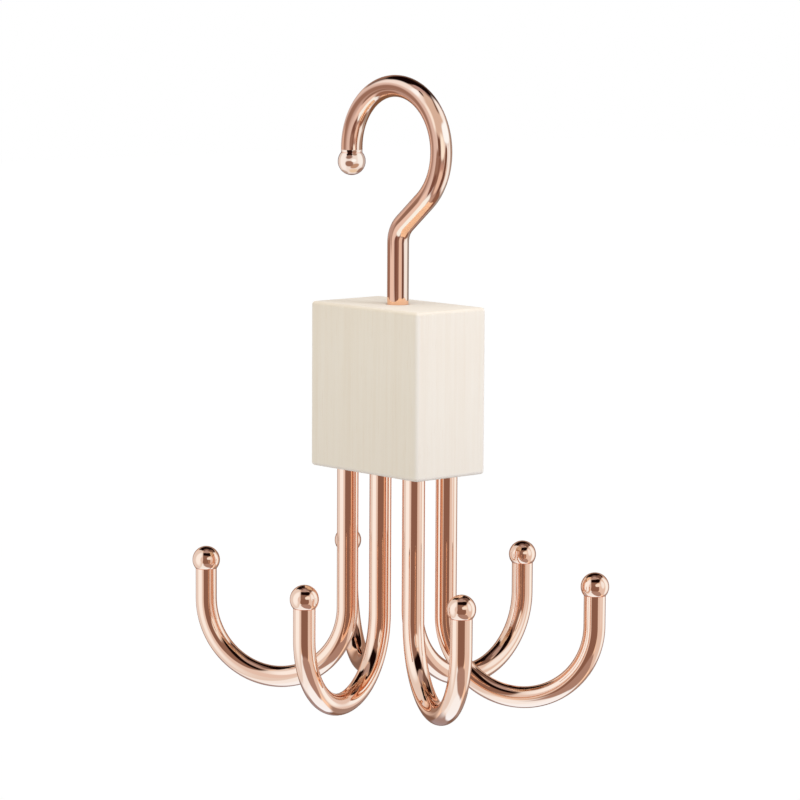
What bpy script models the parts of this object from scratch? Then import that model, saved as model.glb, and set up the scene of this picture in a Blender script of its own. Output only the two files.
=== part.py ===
"""Belt hanger: a wooden block on a swivel hook, with wire hooks for belts under it.

Metres, +Z up. The origin is where the hanger hangs: on the swivel axis, at the inner
side of the top hook's crown. +X runs along the block's wide faces, and -Y is the front.
"""
import math

import bmesh
import bpy

# The wire, the same in all seven hooks
WIRE_DIAMETER = 0.0052
CLEARANCE = 0.0003             # between pieces that fit into or rest on each other

# The wood left between and around the holes sets the block's size
HOLE_COLUMN_WEB = 0.0062       # wood between two holes of a row
HOLE_ROW_WEB = 0.0046          # wood between the front row's holes and the back row's
END_WALL = 0.0043              # wood between an outer hole and the block's narrow face
SIDE_WALL = 0.0029             # wood between a hole and the block's wide face
CORE_HEIGHT = 0.0068           # solid wood between the swivel bore and the hooks' holes
BLOCK_EDGE_ROUND = 0.0009

# Belt hooks
STEM_SEAT = 0.0150             # how far a stem goes into the wood
STEM_DROP = 0.03455            # straight stem below the block
BELT_BEND_RADIUS = 0.0185      # centre line of the half circle
BELT_TIP_STRAIGHT = 0.0067     # straight wire after the half circle
FRONT_LEFT_TURN = 209.2        # compass of each hook about its stem, in degrees from +X
FRONT_MIDDLE_TURN = 290.4
FRONT_RIGHT_TURN = 335.2
BACK_RIGHT_TURN = 29.5
BACK_MIDDLE_TURN = 90.4
BACK_LEFT_TURN = 151.3

# Top hook
NECK_LENGTH = 0.0148           # straight shank above the block
NECK_BEND_RADIUS = 0.0060
NECK_LEAN = 50.0               # how far the neck leans out, in degrees
TOP_BEND_RADIUS = 0.0152       # centre line of the big bend
TOP_BEND_SHIFT = 0.0009        # the big bend's centre lies this far towards the open end
TOP_TIP_STRAIGHT = 0.0006
TOP_HOOK_TURN = 2.8            # the hook's plane against the block's wide faces, in degrees

# Ball tips, pressed on spigots turned at the wires' ends
BALL_PROUD = 0.0008            # how far a ball stands out around its wire
SPIGOT_SHOULDER = 0.0011       # radial step from the wire to its spigot
SPIGOT_PAST_CENTRE = 0.0010    # how far the spigot reaches past the ball's centre
SHOULDER_FLANK = 0.0002        # turned steps slope over this length

# Swivel: a cross pin in the block runs through a groove in the shank
PIN_DIAMETER = 0.0020
PIN_DEPTH = 0.0130             # from the block's top down to the pin
PIN_SUNK = 0.0005              # the pin's head lies this far below the back face
PIN_PAST_AXIS = 0.0055         # how far the pin reaches past the swivel axis
PIN_END_CHAMFER = 0.0003
GROOVE_DEPTH = 0.0011
GROOVE_SPARE = 0.0004          # play above the pin in the groove
SHANK_LAND = 0.0030            # shank left below the groove

CUT_OVERRUN = 0.0010           # how far a cutter stands out of the face that it enters

# How finely round shapes are divided
WIRE_BEVEL_RESOLUTION = 4
HALF_CIRCLE_STEPS = 16
BALL_STEPS = 20
BALL_RINGS = 9
HOLE_SIDES = 24
PIN_STEPS = 16
EDGE_SEGMENTS = 3
MERGE_DISTANCE = 0.00001

# Sizes that follow from those above
wire_radius = WIRE_DIAMETER / 2
hole_radius = wire_radius + CLEARANCE
column_pitch = 2 * hole_radius + HOLE_COLUMN_WEB
row_pitch = 2 * hole_radius + HOLE_ROW_WEB
stem_hole_depth = STEM_SEAT + CLEARANCE

pin_radius = PIN_DIAMETER / 2
groove_radius = wire_radius - GROOVE_DEPTH
pin_offset = groove_radius + CLEARANCE + pin_radius
groove_low = PIN_DEPTH + pin_radius + CLEARANCE
groove_high = PIN_DEPTH - pin_radius - GROOVE_SPARE
shank_seat = groove_low + SHOULDER_FLANK + SHANK_LAND
bore_depth = shank_seat + CLEARANCE

block_width = 2 * column_pitch + 2 * (hole_radius + END_WALL)
block_depth = row_pitch + 2 * (hole_radius + SIDE_WALL)
block_height = bore_depth + CORE_HEIGHT + stem_hole_depth

ball_radius = wire_radius + BALL_PROUD
ball_flat = math.sqrt(ball_radius ** 2 - wire_radius ** 2)
spigot_radius = wire_radius - SPIGOT_SHOULDER
shoulder_to_centre = ball_flat + CLEARANCE + SHOULDER_FLANK

# The hook's crown hangs on the origin, and the neck sets how far down the block's top is
neck_lean = math.radians(NECK_LEAN)
bend_centre_z = -(TOP_BEND_RADIUS - wire_radius)
lean_start_x = TOP_BEND_RADIUS * math.cos(neck_lean) - TOP_BEND_SHIFT
lean_start_z = bend_centre_z - TOP_BEND_RADIUS * math.sin(neck_lean)
neck_corner_z = lean_start_z - lean_start_x / math.tan(neck_lean)
neck_tangent = NECK_BEND_RADIUS * math.tan(neck_lean / 2)
block_top = neck_corner_z - neck_tangent - NECK_LENGTH
block_bottom = block_top - block_height
belt_bend_z = block_bottom - STEM_DROP

# Each belt hook: its column and row, counted from the middle, and its compass
BELT_HOOKS = {
    "front_left": (-1, -1, FRONT_LEFT_TURN),
    "front_middle": (0, -1, FRONT_MIDDLE_TURN),
    "front_right": (1, -1, FRONT_RIGHT_TURN),
    "back_right": (1, 1, BACK_RIGHT_TURN),
    "back_middle": (0, 1, BACK_MIDDLE_TURN),
    "back_left": (-1, 1, BACK_LEFT_TURN),
}


def clear_scene():
    for old in list(bpy.data.objects):
        bpy.data.objects.remove(old, do_unlink=True)


def new_collection(name):
    collection = bpy.data.collections.new(name)
    bpy.context.scene.collection.children.link(collection)
    return collection


def make_material(name, colour, roughness, metallic):
    material = bpy.data.materials.new(name)
    material.use_nodes = True
    shader = material.node_tree.nodes["Principled BSDF"]
    shader.inputs["Base Color"].default_value = (*colour, 1)
    shader.inputs["Roughness"].default_value = roughness
    shader.inputs["Metallic"].default_value = metallic
    return material


def rose_gold(name):
    return make_material(name, (0.82, 0.47, 0.35), 0.12, 1)


def place(thing, collection, parent=None, material=None):
    collection.objects.link(thing)
    thing.parent = parent
    if material:
        thing.data.materials.append(material)
    return thing


def as_cutter(thing):
    thing.hide_render = True
    thing.display_type = "WIRE"
    return thing


def cylinder_mesh(name, radius, length, sides):
    shape = bmesh.new()
    bmesh.ops.create_cone(shape, cap_ends=True, segments=sides, radius1=radius, radius2=radius, depth=length)
    mesh = bpy.data.meshes.new(name)
    shape.to_mesh(mesh)
    shape.free()
    return mesh


def turned(name, profile, steps):
    """A profile of (radius, height) from top to bottom, turned about Z."""
    mesh = bpy.data.meshes.new(name)
    edges = [(i, i + 1) for i in range(len(profile) - 1)]
    mesh.from_pydata([(radius, 0, height) for radius, height in profile], edges, [])
    thing = bpy.data.objects.new(name, mesh)
    screw = thing.modifiers.new("Turn", "SCREW")
    screw.axis = "Z"
    screw.angle = math.tau
    screw.steps = steps
    screw.render_steps = steps
    screw.use_smooth_shade = True
    screw.use_merge_vertices = True
    screw.merge_threshold = MERGE_DISTANCE
    return thing


def arc(centre, radius, start, end):
    """Points on an arc in a hook's plane, from one angle to another, both included."""
    steps = max(2, round(HALF_CIRCLE_STEPS * abs(end - start) / math.pi))
    angles = [start + (end - start) * i / steps for i in range(steps + 1)]
    return [(centre[0] + radius * math.cos(a), centre[1] + radius * math.sin(a)) for a in angles]


def wire(name, path):
    """A round wire along (across, height, thickness share) points in its own XZ plane."""
    curve = bpy.data.curves.new(name, "CURVE")
    curve.dimensions = "3D"
    curve.bevel_depth = wire_radius
    curve.bevel_resolution = WIRE_BEVEL_RESOLUTION
    curve.use_fill_caps = True
    spline = curve.splines.new("POLY")
    spline.points.add(len(path) - 1)
    for point, (across, height, share) in zip(spline.points, path):
        point.co = (across, 0, height, 1)
        point.radius = share
    spline.use_smooth = True
    return bpy.data.objects.new(name, curve)


def spigot(across, shoulder_z, direction):
    """The wire's turned end: a shoulder, then a thinner spigot that goes into the ball."""
    thin_share = spigot_radius / wire_radius
    end = shoulder_to_centre + SPIGOT_PAST_CENTRE
    return [
        (across, shoulder_z, 1),
        (across, shoulder_z + direction * SHOULDER_FLANK, thin_share),
        (across, shoulder_z + direction * end, thin_share),
    ]


def make_block(collection, cutters, parent):
    """The wood block with six blind holes below, the swivel bore and the pin's hole."""
    shape = bmesh.new()
    bmesh.ops.create_cube(shape, size=1)
    bmesh.ops.scale(shape, vec=(block_width, block_depth, block_height), verts=shape.verts)
    mesh = bpy.data.meshes.new("wood_block")
    shape.to_mesh(mesh)
    shape.free()
    wood = make_material("washed_wood", (0.80, 0.73, 0.61), 0.6, 0)
    block = place(bpy.data.objects.new("wood_block", mesh), collection, parent, wood)
    block.location = (0, 0, -block_height / 2)

    rounding = block.modifiers.new("Rounded edges", "BEVEL")
    rounding.width = BLOCK_EDGE_ROUND
    rounding.segments = EDGE_SEGMENTS

    bore = cylinder_mesh("swivel_bore_cutter", hole_radius, bore_depth + CUT_OVERRUN, HOLE_SIDES)
    bore_cutter = place(as_cutter(bpy.data.objects.new("swivel_bore_cutter", bore)), cutters, parent)
    bore_cutter.location = (0, 0, (CUT_OVERRUN - bore_depth) / 2)
    holes = [bore_cutter]

    stem_hole = cylinder_mesh("stem_hole_cutter", hole_radius, stem_hole_depth + CUT_OVERRUN, HOLE_SIDES)
    for spot, (column, row, _) in BELT_HOOKS.items():
        cutter = place(as_cutter(bpy.data.objects.new("stem_hole_cutter_" + spot, stem_hole)), cutters, parent)
        middle = (stem_hole_depth - CUT_OVERRUN) / 2
        cutter.location = (column * column_pitch, row * row_pitch / 2, middle - block_height)
        holes.append(cutter)

    pin_hole_length = block_depth / 2 + PIN_PAST_AXIS + CLEARANCE + CUT_OVERRUN
    pin_hole = cylinder_mesh("pin_hole_cutter", pin_radius + CLEARANCE, pin_hole_length, HOLE_SIDES)
    pin_cutter = place(as_cutter(bpy.data.objects.new("pin_hole_cutter", pin_hole)), cutters, parent)
    pin_cutter.location = (pin_offset, block_depth / 2 + CUT_OVERRUN - pin_hole_length / 2, -PIN_DEPTH)
    pin_cutter.rotation_euler = (math.pi / 2, 0, 0)
    holes.append(pin_cutter)

    for cutter in holes:
        cut = block.modifiers.new(cutter.name, "BOOLEAN")
        cut.operation = "DIFFERENCE"
        cut.object = cutter
    return block


def make_pin(collection, parent):
    """The steel cross pin, chamfered at both ends, that holds the shank in the block."""
    length = block_depth / 2 - PIN_SUNK + PIN_PAST_AXIS
    profile = [
        (0, length / 2),
        (pin_radius - PIN_END_CHAMFER, length / 2),
        (pin_radius, length / 2 - PIN_END_CHAMFER),
        (pin_radius, PIN_END_CHAMFER - length / 2),
        (pin_radius - PIN_END_CHAMFER, -length / 2),
        (0, -length / 2),
    ]
    steel = make_material("plain_steel", (0.55, 0.55, 0.56), 0.35, 1)
    pin = place(turned("swivel_pin", profile, PIN_STEPS), collection, parent, steel)
    pin.location = (pin_offset, block_depth / 2 - PIN_SUNK - length / 2, -PIN_DEPTH)
    pin.rotation_euler = (math.pi / 2, 0, 0)
    return pin


def make_ball(name, collection, parent):
    """A ball with a small flat against the wire's shoulder and a socket for its spigot."""
    flat_angle = math.acos(-ball_flat / ball_radius)
    angles = [flat_angle * i / BALL_RINGS for i in range(BALL_RINGS + 1)]
    profile = [(ball_radius * math.sin(a), ball_radius * math.cos(a)) for a in angles]
    socket_radius = spigot_radius + CLEARANCE
    socket_top = SPIGOT_PAST_CENTRE + CLEARANCE
    profile += [(socket_radius, -ball_flat), (socket_radius, socket_top), (0, socket_top)]
    return place(turned(name, profile, BALL_STEPS), collection, parent, rose_gold(name + "_finish"))


def make_belt_hook(spot, collection, parent):
    """One belt hook: a stem in the block, a half circle, and a short upright tip with its ball."""
    column, row, turn = BELT_HOOKS[spot]
    stem = (column * column_pitch, row * row_pitch / 2, -block_height)
    bend_z = -STEM_DROP
    shoulder_z = bend_z + BELT_TIP_STRAIGHT
    reach = 2 * BELT_BEND_RADIUS
    path = [(0, STEM_SEAT, 1), (0, 0, 1)]
    path += [(x, z, 1) for x, z in arc((BELT_BEND_RADIUS, bend_z), BELT_BEND_RADIUS, math.pi, math.tau)]
    path += spigot(reach, shoulder_z, 1)
    hook = place(wire("belt_hook_" + spot, path), collection, parent, rose_gold("belt_hook_" + spot + "_finish"))
    hook.location = stem
    hook.rotation_euler = (0, 0, math.radians(turn))

    ball = make_ball("belt_ball_" + spot, collection, hook)
    ball.location = (reach, 0, shoulder_z + shoulder_to_centre)
    return hook


def make_top_hook(collection):
    """The swivel hook: grooved shank, leaning neck, the big bend and a tip that points down."""
    shank_end = block_top - shank_seat
    groove_share = groove_radius / wire_radius
    groove_bottom = block_top - groove_low
    groove_top = block_top - groove_high
    path = [
        (0, shank_end, 1),
        (0, groove_bottom - SHOULDER_FLANK, 1),
        (0, groove_bottom, groove_share),
        (0, groove_top, groove_share),
        (0, groove_top + SHOULDER_FLANK, 1),
        (0, block_top, 1),
    ]
    neck_centre = (NECK_BEND_RADIUS, block_top + NECK_LENGTH)
    path += [(x, z, 1) for x, z in arc(neck_centre, NECK_BEND_RADIUS, math.pi, math.pi - neck_lean)]
    bend_centre = (-TOP_BEND_SHIFT, bend_centre_z)
    path += [(x, z, 1) for x, z in arc(bend_centre, TOP_BEND_RADIUS, -neck_lean, math.pi)]
    tip_x = -TOP_BEND_SHIFT - TOP_BEND_RADIUS
    shoulder_z = bend_centre_z - TOP_TIP_STRAIGHT
    path += spigot(tip_x, shoulder_z, -1)
    hook = place(wire("top_hook", path), collection, None, rose_gold("top_hook_finish"))
    hook.rotation_euler = (0, 0, math.radians(TOP_HOOK_TURN))

    ball = make_ball("top_hook_ball", collection, hook)
    ball.location = (tip_x, 0, shoulder_z - shoulder_to_centre)
    ball.rotation_euler = (math.pi, 0, 0)
    return hook


def main():
    clear_scene()
    parts = new_collection("belt_hanger")
    cutters = new_collection("belt_hanger_cutters")
    swivel = bpy.data.objects.new("swivel_axis", None)
    parts.objects.link(swivel)
    swivel.location = (0, 0, block_top)

    make_top_hook(parts)
    make_block(parts, cutters, swivel)
    make_pin(parts, swivel)
    for spot in BELT_HOOKS:
        make_belt_hook(spot, parts, swivel)


main()
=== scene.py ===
import math

import bmesh
import bpy
from mathutils import Matrix, Vector


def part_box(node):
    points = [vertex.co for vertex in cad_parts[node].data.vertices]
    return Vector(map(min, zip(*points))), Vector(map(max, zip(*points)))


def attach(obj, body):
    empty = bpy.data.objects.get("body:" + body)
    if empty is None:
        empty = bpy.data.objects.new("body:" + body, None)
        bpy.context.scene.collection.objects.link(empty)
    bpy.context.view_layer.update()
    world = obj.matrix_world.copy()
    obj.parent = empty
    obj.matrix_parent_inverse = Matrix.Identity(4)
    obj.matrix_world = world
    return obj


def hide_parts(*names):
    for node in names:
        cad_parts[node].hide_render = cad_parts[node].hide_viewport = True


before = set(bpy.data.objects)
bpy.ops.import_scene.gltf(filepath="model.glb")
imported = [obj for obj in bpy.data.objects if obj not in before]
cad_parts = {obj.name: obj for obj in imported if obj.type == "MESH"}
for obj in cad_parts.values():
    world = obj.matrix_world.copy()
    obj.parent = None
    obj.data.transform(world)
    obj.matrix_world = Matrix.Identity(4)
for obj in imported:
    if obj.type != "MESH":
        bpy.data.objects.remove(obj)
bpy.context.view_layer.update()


# Wood block
# A sawn and sanded block of pale wood with its grain upright, eased edges and a thin
# whitish wash. Six blind holes in its underside hold the belt hooks, a bore in its top
# holds the swivel shank, and a small hole in its back face takes the cross pin.

block_low, block_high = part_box("wood_block")
pin_low, pin_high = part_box("swivel_pin")
block_size = block_high - block_low
block_middle = (block_low + block_high) / 2
block_top = block_high.z
block_bottom = block_low.z
EDGE_ROUND = 0.0009
EDGE_SEGMENTS = 6
BLOCK_CREASE = math.radians(35)
WIRE_RADIUS = 0.0026
PIN_RADIUS = 0.0010
STEM_FIT = 0.00008
SWIVEL_FIT = 0.0001
PIN_FIT = 0.00005
STEM_HOLE_DEPTH = 0.0152
SWIVEL_BORE_DEPTH = 0.0181
PIN_DROP = 0.0130
COLUMN_PITCH = 0.0120
ROW_PITCH = 0.0104
HOLE_SIDES = 48
CUT_OVERRUN = 0.001
MOUTH_CHAMFER = 0.00025

STEMS = {
    "front_left": (-COLUMN_PITCH, -ROW_PITCH / 2),
    "front_middle": (0, -ROW_PITCH / 2),
    "front_right": (COLUMN_PITCH, -ROW_PITCH / 2),
    "back_right": (COLUMN_PITCH, ROW_PITCH / 2),
    "back_middle": (0, ROW_PITCH / 2),
    "back_left": (-COLUMN_PITCH, ROW_PITCH / 2),
}


def new_object(name, data, material=None):
    """Puts a mesh, a lamp or a camera into the scene as an object of this name."""
    thing = bpy.data.objects.new(name, data)
    bpy.context.scene.collection.objects.link(thing)
    if material:
        data.materials.append(material)
    return thing


def mesh_from(shape, name):
    """Turns a finished bmesh shape into a mesh and frees the shape."""
    mesh = bpy.data.meshes.new(name)
    shape.to_mesh(mesh)
    shape.free()
    return mesh


def plain_mesh(thing):
    """Turns an object and its modifiers into a plain mesh on the same object, at the origin."""
    seen = thing.evaluated_get(bpy.context.evaluated_depsgraph_get())
    mesh = bpy.data.meshes.new_from_object(seen)
    mesh.transform(thing.matrix_world)
    thing.modifiers.clear()
    thing.data = mesh
    thing.matrix_world = Matrix.Identity(4)


def hole_cutter(radius, depth, mouth, inward):
    """A drill with an eased mouth: its flat end lies depth below the mouth, along inward."""
    shape = bmesh.new()
    profile = [
        (radius + MOUTH_CHAMFER + CUT_OVERRUN, -CUT_OVERRUN),
        (radius, MOUTH_CHAMFER),
        (radius, depth),
    ]
    angles = [math.tau * i / HOLE_SIDES for i in range(HOLE_SIDES)]
    loops = []
    for width, height in profile:
        points = [(width * math.cos(angle), width * math.sin(angle), height) for angle in angles]
        loops.append([shape.verts.new(point) for point in points])
    for near, far in zip(loops, loops[1:]):
        for i in range(HOLE_SIDES):
            j = (i + 1) % HOLE_SIDES
            shape.faces.new((near[i], near[j], far[j], far[i]))
    shape.faces.new(list(reversed(loops[0])))
    shape.faces.new(loops[-1])
    bmesh.ops.recalc_face_normals(shape, faces=shape.faces)
    turn = Vector((0, 0, 1)).rotation_difference(Vector(inward)).to_matrix().to_4x4()
    bmesh.ops.transform(shape, matrix=Matrix.Translation(mouth) @ turn, verts=shape.verts)
    return new_object("drill", mesh_from(shape, "drill"))


def give(tree, socket, value):
    """Links another node's socket to this one, or sets a plain value on it."""
    if isinstance(value, bpy.types.NodeSocket):
        tree.links.new(value, socket)
    else:
        socket.default_value = value


def add_node(tree, kind, settings=None, **inputs):
    """A node with its properties set, and its inputs given as values or as sockets to link."""
    node = tree.nodes.new(kind)
    for key, value in (settings or {}).items():
        setattr(node, key, value)
    for key, value in inputs.items():
        wanted = key.replace("_", " ")
        give(tree, next(s for s in node.inputs if s.name == wanted and s.enabled), value)
    return node


def figure(tree, operation, *values):
    """A math node of one to three values, each a number or a socket; returns its output."""
    node = add_node(tree, "ShaderNodeMath", {"operation": operation})
    for socket, value in zip(node.inputs, values):
        give(tree, socket, value)
    return node.outputs[0]


def blended(tree, share, first, second):
    """A mix of two colours, each four numbers or a socket; returns its output."""
    node = add_node(tree, "ShaderNodeMix", {"data_type": "RGBA"}, Factor=share)
    give(tree, node.inputs[6], first)
    give(tree, node.inputs[7], second)
    return node.outputs[2]


def new_material(name):
    material = bpy.data.materials.new(name)
    material.use_nodes = True
    tree = material.node_tree
    return material, tree, tree.nodes["Principled BSDF"]


WOOD_WASH = (0.885, 0.82, 0.725, 1)
WOOD_FIBRE = (0.81, 0.715, 0.59, 1)
WOOD_RING = (0.80, 0.70, 0.57, 1)
# Painted highlight: the lighter colour of the sheen painted along the eased edges
WOOD_EDGE_SHEEN = (0.90, 0.865, 0.825, 1)
TREE_HEART = (-0.034, 0.052, 0)
RING_PITCH = 0.0021
RING_SWAY = 1.6
RING_SHARPNESS = 3.0
GRAIN_SHARE = 0.3
GRAIN_DEPTH = 0.00012
GRAIN_RELIEF = 0.25
SMOOTHEST_WOOD = 0.5
ROUGHEST_WOOD = 0.72
# How much less painted edge highlight the top edges get
TOP_SHEEN_CUT = 0.0006
RAGGED = 0.0002
EDGE_FADE_START = -0.0001
EDGE_FADE_END = 0.0004
# How much painted highlight the edges get
EDGE_SHEEN_SHARE = 0.5
# How much painted shade darkens the top edges
TOP_EDGE_SHADE_SHARE = 0.55
wood, wood_tree, wood_shader = new_material("washed_wood")
wood_place = add_node(wood_tree, "ShaderNodeTexCoord").outputs["Object"]


def wood_sum(operation, *values):
    return figure(wood_tree, operation, *values)


def wood_share(value, low, high, least, most):
    """Spreads a value that runs from low to high over least to most, and holds it there."""
    node = add_node(
        wood_tree, "ShaderNodeMapRange", Value=value, From_Min=low, From_Max=high, To_Min=least, To_Max=most)
    return node.outputs[0]


def wood_noise(stretch, detail, roughness):
    """Noise drawn out along the grain: stretch is its scale across, across and along."""
    stretched = add_node(wood_tree, "ShaderNodeMapping", Vector=wood_place, Scale=stretch)
    node = add_node(
        wood_tree, "ShaderNodeTexNoise", Vector=stretched.outputs[0],
        Scale=1.0, Detail=detail, Roughness=roughness)
    return node.outputs["Fac"]


fibres = wood_noise(stretch=(900, 900, 24), detail=4.0, roughness=0.6)
streaks = wood_noise(stretch=(170, 170, 10), detail=3.0, roughness=0.5)
pores = wood_noise(stretch=(2600, 2600, 150), detail=1.0, roughness=0.4)
sway = wood_noise(stretch=(40, 40, 6), detail=1.0, roughness=0.5)

# Year rings round the tree's heart, which lies outside the block, shown in patches
from_heart = add_node(
    wood_tree, "ShaderNodeMapping", Vector=wood_place,
    Location=[-part for part in TREE_HEART], Scale=(1, 1, 0))
heart_distance = add_node(wood_tree, "ShaderNodeVectorMath", {"operation": "LENGTH"})
wood_tree.links.new(from_heart.outputs[0], heart_distance.inputs[0])
ring_count = wood_sum("DIVIDE", heart_distance.outputs["Value"], RING_PITCH)
rings = wood_sum("FRACT", wood_sum("ADD", ring_count, wood_sum("MULTIPLY", sway, RING_SWAY)))
rings = wood_sum("POWER", rings, RING_SHARPNESS)
rings = wood_sum("MULTIPLY", rings, wood_share(streaks, 0.35, 0.7, 0.0, GRAIN_SHARE))
fibre_tint = wood_share(fibres, 0.45, 0.75, 0.0, GRAIN_SHARE)
pore_tint = wood_share(pores, 0.64, 0.72, 0.0, GRAIN_SHARE)
grain_colour = blended(wood_tree, wood_sum("MAXIMUM", fibre_tint, pore_tint), WOOD_WASH, WOOD_FIBRE)
grain_colour = blended(wood_tree, rings, grain_colour, WOOD_RING)

# Painted highlight: a lighter band along the eased edges, which are where two faces' bands cross, with less
# of it along the top ones, where painted shade darkens the top edges towards the fibre colour instead
centred = add_node(wood_tree, "ShaderNodeMapping", Vector=wood_place, Location=-block_middle)
spread = add_node(wood_tree, "ShaderNodeSeparateXYZ", Vector=centred.outputs[0]).outputs
bands = [
    wood_sum("SUBTRACT", wood_sum("ABSOLUTE", spread[i]), block_size[i] / 2 - EDGE_ROUND) for i in range(3)
]
upright_edges = wood_sum("MINIMUM", bands[0], bands[1])
level_edges = wood_sum("MINIMUM", bands[2], wood_sum("MAXIMUM", bands[0], bands[1]))
upper_half = wood_share(spread["Z"], 0.0, block_size.z / 2, 0.0, 1.0)
sheen_edges = wood_sum("SUBTRACT", level_edges, wood_sum("MULTIPLY", upper_half, TOP_SHEEN_CUT))
sheen_edges = wood_sum("MAXIMUM", upright_edges, sheen_edges)
ragged = wood_share(fibres, 0.3, 0.7, -RAGGED, RAGGED)
sheen_edges = wood_sum("ADD", sheen_edges, ragged)
top_shade_edges = wood_sum("ADD", level_edges, ragged)
# Painted highlight: the lighter band along the edges
painted_edge_sheen = wood_share(sheen_edges, EDGE_FADE_START, EDGE_FADE_END, 0.0, EDGE_SHEEN_SHARE)
# Painted shade: the top edges darkened towards the fibre colour, in the upper half only
painted_top_edge_shade = wood_share(top_shade_edges, EDGE_FADE_START, EDGE_FADE_END, 0.0, TOP_EDGE_SHADE_SHARE)
sheened_wood_colour = blended(wood_tree, painted_edge_sheen, grain_colour, WOOD_EDGE_SHEEN)
wood_colour = blended(wood_tree, wood_sum("MULTIPLY", painted_top_edge_shade, upper_half), sheened_wood_colour, WOOD_FIBRE)
relief = wood_sum("SUBTRACT", fibres, wood_sum("ADD", pore_tint, wood_sum("MULTIPLY", rings, 0.5)))
wood_bump = add_node(wood_tree, "ShaderNodeBump", Height=relief, Strength=GRAIN_RELIEF, Distance=GRAIN_DEPTH)
wood_roughness = wood_share(fibres, 0.3, 0.7, SMOOTHEST_WOOD, ROUGHEST_WOOD)
wood_tree.links.new(wood_colour, wood_shader.inputs["Base Color"])
wood_tree.links.new(wood_bump.outputs[0], wood_shader.inputs["Normal"])
wood_tree.links.new(wood_roughness, wood_shader.inputs["Roughness"])

shape = bmesh.new()
bmesh.ops.create_cube(shape, size=1)
bmesh.ops.scale(shape, vec=block_size, verts=shape.verts)
bmesh.ops.translate(shape, vec=block_middle, verts=shape.verts)
block = new_object("wood_block_body", mesh_from(shape, "wood_block_body"), wood)
rounding = block.modifiers.new("Eased edges", "BEVEL")
rounding.width = EDGE_ROUND
rounding.segments = EDGE_SEGMENTS
drills = [hole_cutter(WIRE_RADIUS + SWIVEL_FIT, SWIVEL_BORE_DEPTH, (0, 0, block_top), (0, 0, -1))]
for x, y in STEMS.values():
    drills.append(hole_cutter(WIRE_RADIUS + STEM_FIT, STEM_HOLE_DEPTH, (x, y, block_bottom), (0, 0, 1)))
pin_mouth = ((pin_low.x + pin_high.x) / 2, block_high.y, block_top - PIN_DROP)
drills.append(hole_cutter(PIN_RADIUS + PIN_FIT, block_high.y - pin_low.y, pin_mouth, (0, -1, 0)))
for drill in drills:
    cut = block.modifiers.new("Drilled", "BOOLEAN")
    cut.object = drill
plain_mesh(block)
for drill in drills:
    bpy.data.objects.remove(drill)
block.data.shade_smooth()
block.data.set_sharp_from_angle(angle=BLOCK_CREASE)
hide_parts("wood_block")
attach(block, "belt_rack")


# Belt hooks
# Round steel wire, bent on a former and then polished and plated in rose gold. Each stem
# is glued into its hole, and the open end turns up and is turned down to a spigot for its ball.

STEM_SEAT = 0.0150
STEM_DROP = 0.03455
BELT_BEND_RADIUS = 0.0185
BELT_TIP = 0.00725
POLISHING_LOSS = 0.000012
POLISHED_RADIUS = WIRE_RADIUS - POLISHING_LOSS
SPIGOT_RADIUS = 0.0015
SPIGOT_STEPS = 8
WIRE_STEPS = 300
WIRE_SIDES = 40
WIRE_CREASE = math.radians(30)
BELT_TURNS = {
    "front_left": 209.2,
    "front_middle": 290.4,
    "front_right": 335.2,
    "back_right": 29.5,
    "back_middle": 90.4,
    "back_left": 151.3,
}
PATCH_SCALE = 60.0
HAIRLINE_SCALE = 2600.0
HAIRLINE_DEPTH = 0.00002
PLATING_LIGHT = (0.95, 0.575, 0.375, 1)
PLATING_DEEP = (0.945, 0.56, 0.36, 1)

# Fine polish, shared by the plated metal and the bare steel: haze, faint tint and hairlines
polish = bpy.data.node_groups.new("fine_polish", "ShaderNodeTree")
for name in ("Patch Scale", "Lowest Roughness", "Highest Roughness"):
    polish.interface.new_socket(name=name, in_out="INPUT", socket_type="NodeSocketFloat")
for name in ("Roughness", "Patches", "Height"):
    polish.interface.new_socket(name=name, in_out="OUTPUT", socket_type="NodeSocketFloat")
polish_in = polish.nodes.new("NodeGroupInput").outputs
polish_out = polish.nodes.new("NodeGroupOutput").inputs
polish_place = add_node(polish, "ShaderNodeTexCoord").outputs["Object"]
patches = add_node(
    polish, "ShaderNodeTexNoise", Vector=polish_place,
    Scale=polish_in["Patch Scale"], Detail=3.0, Roughness=0.55)
hairlines = add_node(
    polish, "ShaderNodeTexNoise", Vector=polish_place, Scale=HAIRLINE_SCALE, Detail=2.0, Roughness=0.5)
haze = add_node(
    polish, "ShaderNodeMapRange", Value=patches.outputs["Fac"], From_Min=0.3, From_Max=0.7,
    To_Min=polish_in["Lowest Roughness"], To_Max=polish_in["Highest Roughness"])
polish.links.new(haze.outputs[0], polish_out["Roughness"])
polish.links.new(patches.outputs["Fac"], polish_out["Patches"])
polish.links.new(hairlines.outputs["Fac"], polish_out["Height"])


def metal(name, light, deep, lowest_roughness, highest_roughness, relief, metallic):
    """A metal whose colour runs from light to deep and whose haze runs from lowest to highest."""
    material, tree, shader = new_material(name)
    group = add_node(
        tree, "ShaderNodeGroup", {"node_tree": polish}, Patch_Scale=PATCH_SCALE,
        Lowest_Roughness=lowest_roughness, Highest_Roughness=highest_roughness).outputs
    bump = add_node(tree, "ShaderNodeBump", Height=group["Height"], Strength=relief, Distance=HAIRLINE_DEPTH)
    tree.links.new(blended(tree, group["Patches"], light, deep), shader.inputs["Base Color"])
    tree.links.new(group["Roughness"], shader.inputs["Roughness"])
    tree.links.new(bump.outputs[0], shader.inputs["Normal"])
    shader.inputs["Metallic"].default_value = metallic
    return material


rose_gold = metal(
    "rose_gold_plating", PLATING_LIGHT, PLATING_DEEP,
    lowest_roughness=0.03, highest_roughness=0.06, relief=0.012, metallic=1.0)

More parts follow.
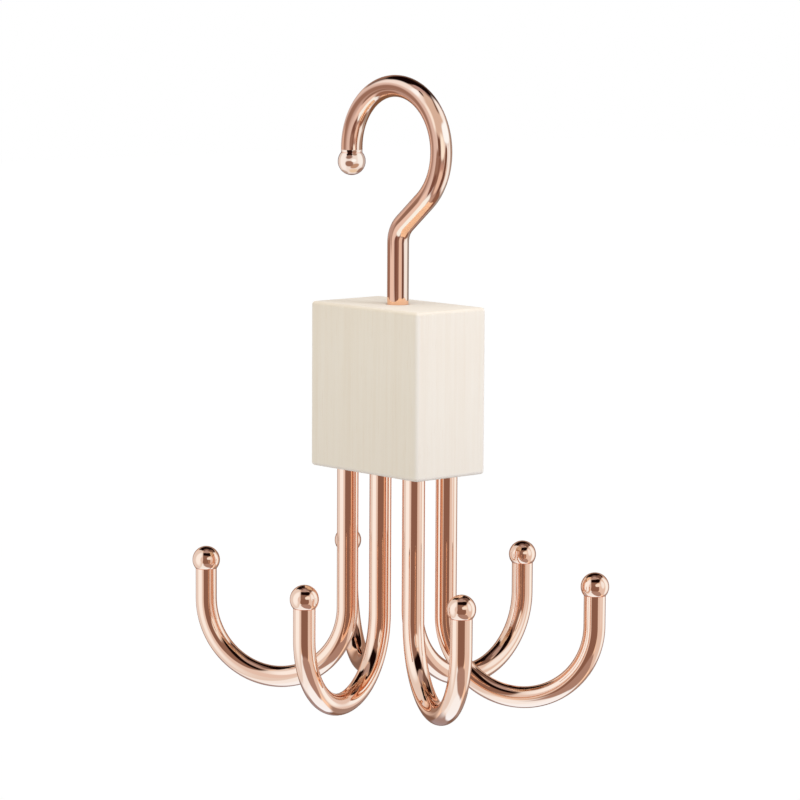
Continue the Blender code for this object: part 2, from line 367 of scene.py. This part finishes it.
# The wire former: feeds straight wire, bends it twice and turns its end down to a spigot
former = bpy.data.node_groups.new("bent_wire", "GeometryNodeTree")
FORMER_INPUTS = {
    "Length": "Float", "Steps": "Int", "Spigot Steps": "Int", "Sides": "Int",
    "Wire Radius": "Float", "Spigot Radius": "Float",
    "Groove Radius": "Float", "Groove Start": "Float", "Groove End": "Float",
    "Start Heading": "Float",
    "First Bend Start": "Float", "First Bend End": "Float", "First Bend Angle": "Float",
    "Second Bend Start": "Float", "Second Bend End": "Float", "Second Bend Angle": "Float",
    "Material": "Material",
}
for name, kind in FORMER_INPUTS.items():
    former.interface.new_socket(name=name, in_out="INPUT", socket_type="NodeSocket" + kind)
former.interface.new_socket(name="Geometry", in_out="OUTPUT", socket_type="NodeSocketGeometry")
feed = former.nodes.new("NodeGroupInput").outputs


def calc(operation, *values):
    return figure(former, operation, *values)


def chosen(where, elsewhere, there):
    """A radius: there where the first value is 1, and elsewhere where it is 0."""
    node = add_node(former, "ShaderNodeMix", {"data_type": "FLOAT"}, Factor=where, A=elsewhere, B=there)
    return node.outputs[0]


step = former.nodes.new("GeometryNodeInputIndex").outputs[0]
step_length = calc("DIVIDE", feed["Length"], feed["Steps"])
along = calc("MULTIPLY", step, step_length)
half_way = calc("ADD", along, calc("MULTIPLY", step_length, 0.5))
heading = feed["Start Heading"]
for bend in ("First", "Second"):
    turned_by = add_node(
        former, "ShaderNodeMapRange", Value=half_way, From_Min=feed[bend + " Bend Start"],
        From_Max=feed[bend + " Bend End"], To_Min=0.0, To_Max=feed[bend + " Bend Angle"])
    heading = calc("ADD", heading, turned_by.outputs[0])
across = calc("MULTIPLY", calc("COSINE", heading), step_length)
rise = calc("MULTIPLY", calc("SINE", heading), step_length)
advance = add_node(former, "ShaderNodeCombineXYZ", X=across, Z=rise)
route = add_node(
    former, "GeometryNodeAccumulateField", {"data_type": "FLOAT_VECTOR"}, Value=advance.outputs[0])
point_count = calc("ADD", calc("ADD", feed["Steps"], feed["Spigot Steps"]), 1.0)
straight = add_node(former, "GeometryNodeMeshLine", Count=point_count)
bent = add_node(
    former, "GeometryNodeSetPosition", Geometry=straight.outputs[0], Position=route.outputs["Trailing"])
past_groove_start = calc("GREATER_THAN", along, feed["Groove Start"])
before_groove_end = calc("LESS_THAN", along, feed["Groove End"])
in_groove = calc("MULTIPLY", past_groove_start, before_groove_end)
on_spigot = calc("GREATER_THAN", step, feed["Steps"])
shank_radius = chosen(in_groove, feed["Wire Radius"], feed["Groove Radius"])
radius = chosen(on_spigot, shank_radius, feed["Spigot Radius"])
centre_line = add_node(former, "GeometryNodeMeshToCurve", Mesh=bent.outputs[0])
section = add_node(former, "GeometryNodeCurvePrimitiveCircle", Resolution=feed["Sides"], Radius=1.0)
tube = add_node(
    former, "GeometryNodeCurveToMesh", Curve=centre_line.outputs[0], Profile_Curve=section.outputs[0],
    Scale=radius, Fill_Caps=True)
smooth = add_node(former, "GeometryNodeSetShadeSmooth", {"domain": "FACE"}, Geometry=tube.outputs[0])
edge_angle = former.nodes.new("GeometryNodeInputMeshEdgeAngle").outputs[0]
crisp = add_node(
    former, "GeometryNodeSetShadeSmooth", {"domain": "EDGE"}, Geometry=smooth.outputs[0],
    Selection=calc("GREATER_THAN", edge_angle, WIRE_CREASE), Shade_Smooth=False)
real = add_node(former, "GeometryNodeRealizeInstances", Geometry=crisp.outputs[0])
finished = add_node(
    former, "GeometryNodeSetMaterial", Geometry=real.outputs[0], Material=feed["Material"])
former.links.new(finished.outputs[0], former.nodes.new("NodeGroupOutput").inputs[0])


def bent_wire(name, start, turn, sizes):
    """Runs the wire former with these sizes and stands the wire at start, turned about Z."""
    thing = new_object(name, bpy.data.meshes.new(name))
    run = thing.modifiers.new("Wire former", "NODES")
    run.node_group = former
    common = {
        "Steps": WIRE_STEPS, "Spigot Steps": SPIGOT_STEPS, "Sides": WIRE_SIDES,
        "Wire Radius": POLISHED_RADIUS, "Spigot Radius": SPIGOT_RADIUS, "Material": rose_gold,
    }
    sizes = {**common, **sizes}
    for socket in former.interface.items_tree:
        if socket.in_out == "INPUT" and socket.name in sizes:
            run[socket.identifier] = sizes[socket.name]
    thing.matrix_world = Matrix.Translation(start) @ Matrix.Rotation(math.radians(turn), 4, "Z")
    bpy.context.view_layer.update()
    plain_mesh(thing)
    return thing


# A belt hook has one bend and no groove, so its second bend turns by nothing over the whole length
belt_bend = math.pi * BELT_BEND_RADIUS
belt_length = STEM_SEAT + STEM_DROP + belt_bend + BELT_TIP
for spot, (x, y) in STEMS.items():
    hook = bent_wire("belt_wire_" + spot, (x, y, block_bottom + STEM_SEAT), BELT_TURNS[spot], {
        "Length": belt_length,
        "Start Heading": -math.pi / 2,
        "First Bend Start": STEM_SEAT + STEM_DROP,
        "First Bend End": STEM_SEAT + STEM_DROP + belt_bend,
        "First Bend Angle": math.pi,
        "Second Bend End": belt_length,
    })
    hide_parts("belt_hook_" + spot)
    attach(hook, "belt_rack")


# Top hook
# The same plated wire, bent the other way first: the neck leans out, then the wire sweeps
# over in one big bend. The groove near its lower end runs on the cross pin, so it swivels.

NECK_LENGTH = 0.0148
NECK_BEND_RADIUS = 0.0060
NECK_LEAN = math.radians(50)
TOP_BEND_RADIUS = 0.0152
TOP_BEND_SHIFT = 0.0009
TOP_TIP = 0.00115
TOP_HOOK_TURN = 2.8
GROOVE_RADIUS = 0.0015
GROOVE_BELOW_PIN = 0.0014
GROOVE_ABOVE_PIN = 0.0015
shank_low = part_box("top_hook")[0].z
shank_seat = block_top - shank_low
pin_along = shank_seat - PIN_DROP
neck_bend_start = shank_seat + NECK_LENGTH
neck_bend_end = neck_bend_start + NECK_BEND_RADIUS * NECK_LEAN
lean_reach = (TOP_BEND_RADIUS * math.cos(NECK_LEAN) - TOP_BEND_SHIFT) / math.sin(NECK_LEAN)
big_bend_start = neck_bend_end + lean_reach - NECK_BEND_RADIUS * math.tan(NECK_LEAN / 2)
big_bend_end = big_bend_start + TOP_BEND_RADIUS * (math.pi + NECK_LEAN)
top_hook = bent_wire("top_wire", (0, 0, shank_low), TOP_HOOK_TURN, {
    "Length": big_bend_end + TOP_TIP,
    "Start Heading": math.pi / 2,
    "First Bend Start": neck_bend_start,
    "First Bend End": neck_bend_end,
    "First Bend Angle": -NECK_LEAN,
    "Second Bend Start": big_bend_start,
    "Second Bend End": big_bend_end,
    "Second Bend Angle": math.pi + NECK_LEAN,
    "Groove Radius": GROOVE_RADIUS,
    "Groove Start": pin_along - GROOVE_BELOW_PIN,
    "Groove End": pin_along + GROOVE_ABOVE_PIN,
})
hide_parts("top_hook")
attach(top_hook, "hanging_hook")


# Ball tips
# Turned steel balls, polished and plated like the wire. Each has a small flat that sits on
# the wire's shoulder, and a socket that is pressed on the wire's spigot.

BALL_RADIUS = 0.003365
BALL_FLAT = math.sqrt(BALL_RADIUS ** 2 - WIRE_RADIUS ** 2)
SOCKET_FIT = 0.00004
SOCKET_RADIUS = SPIGOT_RADIUS + SOCKET_FIT
SOCKET_TOP = 0.0012
FLAT_ROUND = 0.00012
BALL_RINGS = 28
BALL_SIDES = 64
TURNED_CREASE = math.radians(40)
MERGE_DISTANCE = 0.000001


def turned_piece(name, profile, sides, matrix, material):
    """A (radius, height) profile from top to bottom, turned about Z and then set in place."""
    mesh = bpy.data.meshes.new(name)
    points = [(radius, 0, height) for radius, height in profile]
    mesh.from_pydata(points, [(i, i + 1) for i in range(len(points) - 1)], [])
    thing = new_object(name, mesh, material)
    screw = thing.modifiers.new("Turned", "SCREW")
    screw.steps = sides
    screw.render_steps = sides
    screw.use_merge_vertices = True
    screw.merge_threshold = MERGE_DISTANCE
    thing.matrix_world = matrix
    bpy.context.view_layer.update()
    plain_mesh(thing)
    thing.data.shade_smooth()
    thing.data.set_sharp_from_angle(angle=TURNED_CREASE)
    return thing


def ball(name, centre, turn):
    """A plated ball at this centre, with its flat and its socket below until it is turned."""
    lowest = math.acos(-BALL_FLAT / BALL_RADIUS) - FLAT_ROUND / BALL_RADIUS
    angles = [lowest * i / BALL_RINGS for i in range(BALL_RINGS + 1)]
    profile = [(BALL_RADIUS * math.sin(a), BALL_RADIUS * math.cos(a)) for a in angles]
    profile += [
        (WIRE_RADIUS - FLAT_ROUND, -BALL_FLAT),
        (SOCKET_RADIUS, -BALL_FLAT),
        (SOCKET_RADIUS, SOCKET_TOP),
        (0, SOCKET_TOP),
    ]
    return turned_piece(name, profile, BALL_SIDES, Matrix.Translation(centre) @ turn, rose_gold)


upright = Matrix.Identity(4)
upside_down = Matrix.Rotation(math.pi, 4, "X")
ball_height = block_bottom - STEM_DROP + BELT_TIP + BALL_FLAT
for spot, (x, y) in STEMS.items():
    turn = math.radians(BELT_TURNS[spot])
    reach = 2 * BELT_BEND_RADIUS
    centre = (x + reach * math.cos(turn), y + reach * math.sin(turn), ball_height)
    tip = ball("belt_tip_" + spot, centre, upright)
    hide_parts("belt_ball_" + spot)
    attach(tip, "belt_rack")

hook_turn = math.radians(TOP_HOOK_TURN)
tip_reach = TOP_BEND_SHIFT + TOP_BEND_RADIUS
tip_height = WIRE_RADIUS - TOP_BEND_RADIUS - TOP_TIP - BALL_FLAT
tip_centre = Vector((-tip_reach * math.cos(hook_turn), -tip_reach * math.sin(hook_turn), tip_height))
top_tip = ball("top_tip", tip_centre, upside_down)
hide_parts("top_hook_ball")
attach(top_tip, "hanging_hook")


# Swivel pin
# A short drawn-steel pin with chamfered ends and a dull grey oxide skin, driven across the
# block from its back face until it sits just below the surface. It rides in the shank's groove.

PIN_CHAMFER = 0.0003
PIN_SIDES = 32
STEEL_LIGHT = (0.44, 0.435, 0.43, 1)
STEEL_DEEP = (0.34, 0.335, 0.33, 1)
steel = metal(
    "plain_steel", STEEL_LIGHT, STEEL_DEEP,
    lowest_roughness=0.35, highest_roughness=0.5, relief=0.2, metallic=0.0)
pin_half = (pin_high.y - pin_low.y) / 2
pin_profile = [
    (0, pin_half),
    (PIN_RADIUS - PIN_CHAMFER, pin_half),
    (PIN_RADIUS, pin_half - PIN_CHAMFER),
    (PIN_RADIUS, PIN_CHAMFER - pin_half),
    (PIN_RADIUS - PIN_CHAMFER, -pin_half),
    (0, -pin_half),
]
pin_place = Matrix.Translation((pin_low + pin_high) / 2) @ Matrix.Rotation(-math.pi / 2, 4, "X")
pin = turned_piece("cross_pin", pin_profile, PIN_SIDES, pin_place, steel)
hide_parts("swivel_pin")
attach(pin, "belt_rack")


# Studio
# The hanger in a white room, seen a little from above, with a soft lamp on each side and one
# above. Cards that only reflections see give the polished metal its bands.

VIEW_TURN = math.radians(48.3)
VIEW_RISE = math.radians(7.1)
VIEW_ROLL = math.radians(0.3)
VIEW_DISTANCE = 0.8408
VIEW_ASIDE = 0.00064
VIEW_ABOVE = 0.00168
VIEW_CENTRE = Vector((0, 0, -0.07406))
LENS = 157.9
SENSOR_WIDTH = 36
NEAREST_SEEN = 0.01
FARTHEST_SEEN = 100


def pointing(bearing, rise):
    """The direction at a bearing round Z from +X and a rise over the level, in radians."""
    return Vector((math.cos(bearing) * math.cos(rise), math.sin(bearing) * math.cos(rise), math.sin(rise)))


camera_bearing = VIEW_TURN - math.pi / 2
right = Vector((math.cos(VIEW_TURN), math.sin(VIEW_TURN), 0))
back = pointing(camera_bearing, VIEW_RISE)
up = back.cross(right)
rolled_right = right * math.cos(VIEW_ROLL) + up * math.sin(VIEW_ROLL)
rolled_up = up * math.cos(VIEW_ROLL) - right * math.sin(VIEW_ROLL)
eye = VIEW_CENTRE + right * VIEW_ASIDE + up * VIEW_ABOVE + back * VIEW_DISTANCE
camera = new_object("camera", bpy.data.cameras.new("camera"))
camera.data.lens = LENS
camera.data.sensor_width = SENSOR_WIDTH
camera.data.clip_start = NEAREST_SEEN
camera.data.clip_end = FARTHEST_SEEN
camera.matrix_world = Matrix((
    (rolled_right.x, rolled_up.x, back.x, eye.x),
    (rolled_right.y, rolled_up.y, back.y, eye.y),
    (rolled_right.z, rolled_up.z, back.z, eye.z),
    (0, 0, 0, 1),
))
bpy.context.scene.camera = camera
bpy.context.scene.view_settings.view_transform = "Standard"

WHITE = (1, 1, 1, 1)
FLOOR_HEIGHT = -1.05
FLOOR_SIZE = 30.0
FLOOR_COLOUR = (0.86, 0.86, 0.86, 1)
FLOOR_ROUGHNESS = 0.9
FLOOR_GLOW = 1.06
FLOOR_GLOW_SHARE = 0.9
ROOM_LIGHT = (0.58, 0.558, 0.533, 1)


def seen_plainly(tree):
    """1 for rays from the camera and from gloss and glass, and 0 for those that carry light."""
    ray = add_node(tree, "ShaderNodeLightPath").outputs
    seen = figure(tree, "MAXIMUM", ray["Is Camera Ray"], ray["Is Glossy Ray"])
    return figure(tree, "MAXIMUM", seen, ray["Is Transmission Ray"])


shape = bmesh.new()
bmesh.ops.create_grid(shape, x_segments=1, y_segments=1, size=FLOOR_SIZE / 2)
floor_paint, floor_tree, floor_shader = new_material("floor_paint")
floor_shader.inputs["Base Color"].default_value = FLOOR_COLOUR
floor_shader.inputs["Roughness"].default_value = FLOOR_ROUGHNESS
floor_glow = add_node(floor_tree, "ShaderNodeEmission", Color=WHITE, Strength=FLOOR_GLOW)
floor_mix = add_node(floor_tree, "ShaderNodeMixShader")
glow_share = figure(floor_tree, "MULTIPLY", seen_plainly(floor_tree), FLOOR_GLOW_SHARE)
for socket, source in zip(floor_mix.inputs, (glow_share, floor_shader.outputs[0], floor_glow.outputs[0])):
    floor_tree.links.new(source, socket)
floor_tree.links.new(floor_mix.outputs[0], floor_tree.nodes["Material Output"].inputs[0])
floor = new_object("floor", mesh_from(shape, "floor"), floor_paint)
floor.location.z = FLOOR_HEIGHT

world = bpy.data.worlds.new("white_room")
bpy.context.scene.world = world
world.use_nodes = True
room = world.node_tree
room_colour = blended(room, seen_plainly(room), ROOM_LIGHT, WHITE)
room.links.new(room_colour, room.nodes["Background"].inputs["Color"])

SUBJECT = Vector((0, 0, -0.075))
LAMP_DISTANCE = 1.2


def lamp(name, turn, lift, width, radiance, tint):
    """A round soft lamp that faces the hanger, at degrees round it from the camera and over the level."""
    light = bpy.data.lights.new(name, "AREA")
    light.shape = "ELLIPSE"
    light.size = width
    light.size_y = width
    light.energy = radiance * math.pi * (math.pi * width ** 2 / 4)
    light.color = tint
    side = pointing(camera_bearing + math.radians(turn), math.radians(lift))
    thing = new_object(name, light)
    thing.location = SUBJECT + side * LAMP_DISTANCE
    thing.rotation_mode = "QUATERNION"
    thing.rotation_quaternion = side.to_track_quat("Z", "Y")
    thing.visible_glossy = False


lamp("left_lamp", turn=-70, lift=15, width=1.3, radiance=0.83, tint=(1, 0.93, 0.73))
lamp("right_lamp", turn=62, lift=24, width=0.5, radiance=9.35, tint=(0.945, 0.97, 1.08))
lamp("top_lamp", turn=10, lift=70, width=1.0, radiance=2.45, tint=(0.98, 1, 1))

# One card of a tent, laid on the directions seen from the tent's middle over the cards below it
panel = bpy.data.node_groups.new("tent_panel", "ShaderNodeTree")
PANEL_INPUTS = {
    "Turn": "Float", "Lift": "Float", "Centre Turn": "Float", "Centre Lift": "Float",
    "Half Width": "Float", "Half Height": "Float", "Lean": "Float", "Squareness": "Float",
    "Softness": "Float", "Colour Below": "Color", "Cover Below": "Float", "Colour": "Color",
}
for name, kind in PANEL_INPUTS.items():
    panel.interface.new_socket(name=name, in_out="INPUT", socket_type="NodeSocket" + kind)
panel.interface.new_socket(name="Colour", in_out="OUTPUT", socket_type="NodeSocketColor")
panel.interface.new_socket(name="Cover", in_out="OUTPUT", socket_type="NodeSocketFloat")
given = panel.nodes.new("NodeGroupInput").outputs


def reckon(operation, *values):
    return figure(panel, operation, *values)


lift_off = reckon("SUBTRACT", given["Lift"], given["Centre Lift"])
turn_off = reckon("SUBTRACT", given["Turn"], given["Centre Turn"])
turn_off = reckon("SUBTRACT", turn_off, reckon("MULTIPLY", lift_off, given["Lean"]))
turn_off = reckon("WRAP", turn_off, 180, -180)
width_share = reckon("ABSOLUTE", reckon("DIVIDE", turn_off, given["Half Width"]))
height_share = reckon("ABSOLUTE", reckon("DIVIDE", lift_off, given["Half Height"]))
width_share = reckon("POWER", width_share, given["Squareness"])
height_share = reckon("POWER", height_share, given["Squareness"])
out_share = reckon("ADD", width_share, height_share)
out_share = reckon("POWER", out_share, reckon("DIVIDE", 1.0, given["Squareness"]))
card = add_node(
    panel, "ShaderNodeMapRange", {"interpolation_type": "SMOOTHSTEP"}, Value=out_share,
    From_Min=reckon("ADD", 1.0, given["Softness"]), From_Max=reckon("SUBTRACT", 1.0, given["Softness"]),
    To_Min=0.0, To_Max=1.0).outputs[0]
panel_out = panel.nodes.new("NodeGroupOutput").inputs
panel.links.new(blended(panel, card, given["Colour Below"], given["Colour"]), panel_out["Colour"])
panel.links.new(reckon("MAXIMUM", given["Cover Below"], card), panel_out["Cover"])

# How the plating tints what it mirrors: seen face on, on a slant, and at its rim
FACE_TINT = (0.95, 0.57, 0.37)
SLANT_TINT = (0.96, 0.635, 0.47)
RIM_TINT = (0.97, 0.765, 0.67)

FADE_IN = 0.014
TENT_SEGMENTS = 64
TENT_RINGS = 32


def card_light(shown, tint):
    """What a card gives off, so that metal of this tint shows the colour, which is given as 0 to 255."""
    lights = []
    for value, share in zip(shown, tint):
        level = value / 255
        level = level / 12.92 if level <= 0.04045 else ((level + 0.055) / 1.055) ** 2.4
        lights.append(level / share)
    return (*lights, 1)


def tent(name, middle, radius, nearest, farthest, panels):
    """A ball of cards round a point, which only reflections see, from inside it and from no farther
    off than farthest. It fades in until the nearest distance, and is open where it has no card."""
    cloth = bpy.data.materials.new(name)
    cloth.use_nodes = True
    cloth.cycles.emission_sampling = "NONE"
    tree = cloth.node_tree
    tree.nodes.clear()
    way = add_node(tree, "ShaderNodeVectorMath", {"operation": "NORMALIZE"})
    tree.links.new(add_node(tree, "ShaderNodeTexCoord").outputs["Object"], way.inputs[0])
    way = add_node(tree, "ShaderNodeSeparateXYZ", Vector=way.outputs[0]).outputs
    turn = figure(tree, "DEGREES", figure(tree, "ARCTAN2", way["Y"], way["X"]))
    lift = figure(tree, "DEGREES", figure(tree, "ARCSINE", way["Z"]))
    colour = None
    cover = None
    for centre_turn, centre_lift, half_width, half_height, lean, squareness, softness, tint, shown in panels:
        light = card_light(shown, tint)
        laid = add_node(
            tree, "ShaderNodeGroup", {"node_tree": panel}, Turn=turn, Lift=lift,
            Centre_Turn=centre_turn, Centre_Lift=centre_lift, Half_Width=half_width, Half_Height=half_height,
            Lean=lean, Squareness=squareness, Softness=softness, Colour=light,
            Colour_Below=colour or light, Cover_Below=cover or 0)
        colour = laid.outputs["Colour"]
        cover = laid.outputs["Cover"]
    ray_length = add_node(tree, "ShaderNodeLightPath").outputs["Ray Length"]
    faded_in = add_node(
        tree, "ShaderNodeMapRange", Value=ray_length, From_Min=nearest - FADE_IN, From_Max=nearest)
    inside = add_node(tree, "ShaderNodeNewGeometry").outputs["Backfacing"]
    shows = figure(tree, "LESS_THAN", ray_length, farthest)
    for share in (faded_in.outputs[0], inside, cover):
        shows = figure(tree, "MULTIPLY", shows, share)
    glow = add_node(tree, "ShaderNodeEmission", Color=colour, Strength=1.0)
    gap = add_node(tree, "ShaderNodeBsdfTransparent")
    mix = add_node(tree, "ShaderNodeMixShader")
    for socket, source in zip(mix.inputs, (shows, gap.outputs[0], glow.outputs[0])):
        tree.links.new(source, socket)
    tree.links.new(mix.outputs[0], tree.nodes.new("ShaderNodeOutputMaterial").inputs[0])

    shape = bmesh.new()
    bmesh.ops.create_uvsphere(shape, u_segments=TENT_SEGMENTS, v_segments=TENT_RINGS, radius=radius)
    shell = new_object(name, mesh_from(shape, name), cloth)
    shell.location = middle
    shell.rotation_euler.z = camera_bearing
    for ray in ("camera", "diffuse", "transmission", "shadow", "volume_scatter"):
        setattr(shell, "visible_" + ray, False)


# The cards of the three tents, each laid over those before it: the centre's turn and lift, from
# the camera's side and the level, and half the width and height, in degrees, then lean,
# squareness, softness, the tint of the metal that mirrors it, and the colour that it then shows

# Round the whole hanger, for the belt hooks and their balls
tent("tent", SUBJECT, radius=0.6, nearest=0.0, farthest=2.0, panels=[
    (0, 90, 360, 26, 0, 4, 0.15, FACE_TINT, (178, 138, 121)),
    (178, 54, 80, 28, 0, 3, 0.12, FACE_TINT, (22, 6, 4)),
    (178, 74, 100, 7, 0, 3, 0.3, FACE_TINT, (120, 84, 70)),
    (108, 54, 34, 15, 0, 3, 0.2, FACE_TINT, (118, 80, 64)),
    (4, 48, 76, 18, 0, 3, 0.15, FACE_TINT, (108, 76, 62)),
    (11, 50, 52, 15, -0.2, 2.6, 0.12, FACE_TINT, (20, 5, 4)),
    (174, -3, 44, 30, 0, 3, 0.2, RIM_TINT, (156, 120, 103)),
    (180, -38, 42, 25, 0, 4, 0.15, RIM_TINT, (132, 100, 86)),
    (134, -40, 26, 21, 0, 2, 0.3, FACE_TINT, (164, 124, 104)),
    (0, -90, 360, 31, 0, 4, 0.1, FACE_TINT, (251, 238, 230)),
    (-150, -49, 34, 15, 0, 3, 0.2, FACE_TINT, (163, 126, 111)),
    (-50, -48, 75, 20, 0, 4, 0.2, FACE_TINT, (248, 230, 218)),
    (-8, 18, 30, 20, 0, 4, 0.2, FACE_TINT, (141, 96, 76)),
    (2, -14, 34, 24, 0, 3, 0.1, FACE_TINT, (137, 90, 70)),
    (28, -50, 50, 18, -1.1, 3, 0.12, FACE_TINT, (170, 125, 106)),
    (-84, 4, 53, 57, 0, 2.4, 0.05, FACE_TINT, (229, 198, 179)),
    (-70, 6, 26, 46, 0.1, 2, 0.35, FACE_TINT, (253, 233, 219)),
    (86, -1, 51, 46, 0, 2.4, 0.05, FACE_TINT, (227, 188, 166)),
    (106, 0, 17, 40, 0, 2.5, 0.15, FACE_TINT, (252, 235, 220)),
    (68, 12, 15, 24, 0, 2, 0.3, FACE_TINT, (248, 228, 214)),
    (-40, 2, 11, 20, 0, 2, 0.3, FACE_TINT, (228, 190, 170)),
    (26, 14, 20, 11, 0, 3, 0.2, FACE_TINT, (246, 217, 195)),
])

# Round the top hook. The block stands partly inside, so this tent isn't seen from close by
HOOK_MIDDLE = Vector((0, 0, -0.012))
tent("hook_flags", HOOK_MIDDLE, radius=0.06, nearest=0.022, farthest=0.096, panels=[
    (0, 90, 360, 16, 0, 4, 0.2, FACE_TINT, (188, 145, 132)),
    (12, 45, 66, 32, 0, 3, 0.15, FACE_TINT, (214, 174, 150)),
    (24, 68, 34, 7, 0, 2, 0.3, FACE_TINT, (214, 176, 152)),
    (-32, 29, 16, 17, 0, 2, 0.4, FACE_TINT, (252, 228, 210)),
    (72, 54, 22, 9, 1, 2, 0.35, FACE_TINT, (112, 74, 54)),
    (-142, 42, 22, 13, 0, 2, 0.4, FACE_TINT, (112, 84, 72)),
    (180, 34, 36, 17, 0, 3, 0.2, RIM_TINT, (150, 112, 96)),
    (184, 70, 100, 21, 0, 3, 0.12, FACE_TINT, (18, 4, 3)),
    (148, 42, 14, 15, 0, 2, 0.25, FACE_TINT, (20, 5, 4)),
    (-22, 69, 12, 6, 0, 2, 0.25, FACE_TINT, (60, 28, 22)),
    (-74, 48, 44, 19, 0.8, 3, 0.25, FACE_TINT, (246, 221, 206)),
    (-52, 55, 12, 14, 0.6, 2, 0.4, FACE_TINT, (255, 244, 236)),
    (-150, -16, 28, 40, 0, 3, 0.3, FACE_TINT, (204, 158, 132)),
    (-84, -6, 50, 42, 0, 4, 0.15, FACE_TINT, (219, 179, 161)),
    (-106, -12, 34, 22, 0, 2, 0.5, FACE_TINT, (184, 140, 122)),
    (-97, 9, 27, 14, 0, 2, 0.45, FACE_TINT, (154, 108, 88)),
    (-60, -64, 62, 20, 0, 3, 0.12, FACE_TINT, (250, 238, 224)),
    (-26, -22, 15, 22, 0, 3, 0.15, FACE_TINT, (152, 106, 86)),
    (-6, 3, 13, 10, 0, 3, 0.2, FACE_TINT, (116, 72, 54)),
    (20, 3, 14, 16, 0, 3, 0.3, FACE_TINT, (253, 229, 206)),
    (22, -34, 16, 22, 0, 3, 0.3, FACE_TINT, (192, 140, 118)),
    (30, -67, 36, 12, 0, 3, 0.3, FACE_TINT, (190, 144, 122)),
    (94, 40, 28, 18, 0, 2, 0.3, FACE_TINT, (250, 230, 216)),
    (66, 20, 32, 13, 0, 3, 0.2, FACE_TINT, (255, 247, 240)),
    (89, -18, 18, 29, 0, 3, 0.15, FACE_TINT, (247, 230, 217)),
    (122, 2, 28, 28, 0, 2, 0.3, SLANT_TINT, (170, 138, 122)),
    (162, 0, 20, 52, 0, 3, 0.3, RIM_TINT, (104, 78, 66)),
    (176, -30, 36, 34, 0, 3, 0.3, RIM_TINT, (128, 92, 70)),
    (88, -59, 44, 14, 0, 3, 0.3, FACE_TINT, (140, 90, 68)),
    (50, -24, 10, 31, 0, 4, 0.15, FACE_TINT, (120, 74, 54)),
    (-116, -38, 22, 15, 0, 3, 0.2, SLANT_TINT, (150, 104, 86)),
    (-68, -38, 22, 15, 0, 3, 0.2, FACE_TINT, (234, 190, 168)),
    (-24, -33, 13, 11, 0, 3, 0.2, FACE_TINT, (124, 76, 60)),
    (22, -38, 15, 15, 0, 3, 0.2, FACE_TINT, (230, 182, 156)),
    (53, -38, 12, 15, 0, 3, 0.2, FACE_TINT, (112, 68, 52)),
    (130, -38, 18, 15, 0, 3, 0.2, SLANT_TINT, (160, 142, 132)),
    (-87, -17, 8, 11, -1, 3, 0.3, FACE_TINT, (146, 102, 82)),
    (-116, -3, 9, 8, 0, 2, 0.3, SLANT_TINT, (222, 178, 160)),
])

# Close round the top hook's ball
tent("tip_flags", tip_centre, radius=0.0038, nearest=0.0, farthest=0.0072, panels=[
    (0, 0, 360, 90, 0, 4, 0.1, FACE_TINT, (132, 94, 78)),
    (180, 0, 54, 72, 0, 3, 0.15, FACE_TINT, (236, 212, 196)),
    (-164, 22, 24, 12, 0, 2, 0.3, FACE_TINT, (60, 28, 20)),
    (172, -14, 30, 14, 0, 3, 0.2, FACE_TINT, (160, 114, 94)),
    (0, 6, 81, 79, 0, 4, 0.1, FACE_TINT, (240, 218, 204)),
    (-74, 0, 13, 56, 0, 3, 0.3, FACE_TINT, (226, 197, 178)),
    (76, 6, 15, 60, 0, 3, 0.3, FACE_TINT, (194, 166, 150)),
    (64, -44, 24, 16, 0.5, 3, 0.3, FACE_TINT, (156, 116, 96)),
    (-62, -54, 26, 13, -0.5, 3, 0.3, FACE_TINT, (184, 150, 130)),
    (-44, 2, 18, 46, 0, 3, 0.3, FACE_TINT, (250, 233, 223)),
    (46, 12, 16, 34, 0, 3, 0.3, FACE_TINT, (250, 238, 228)),
    (12, -48, 26, 12, 0, 3, 0.3, FACE_TINT, (232, 196, 162)),
    (18, 38, 14, 9, 0, 2, 0.3, FACE_TINT, (166, 124, 102)),
    (-12, 38, 17, 13, 0, 2.4, 0.15, FACE_TINT, (40, 16, 12)),
    (-12, 22, 16, 9, 0.3, 2, 0.3, FACE_TINT, (150, 110, 94)),
    (16, -20, 19, 12, 0.7, 2.4, 0.2, FACE_TINT, (190, 142, 114)),
    (-11, -9, 19, 13, 0, 2.4, 0.2, FACE_TINT, (156, 110, 90)),
    (11, 6, 11, 7, 0, 2, 0.3, FACE_TINT, (255, 246, 236)),
])
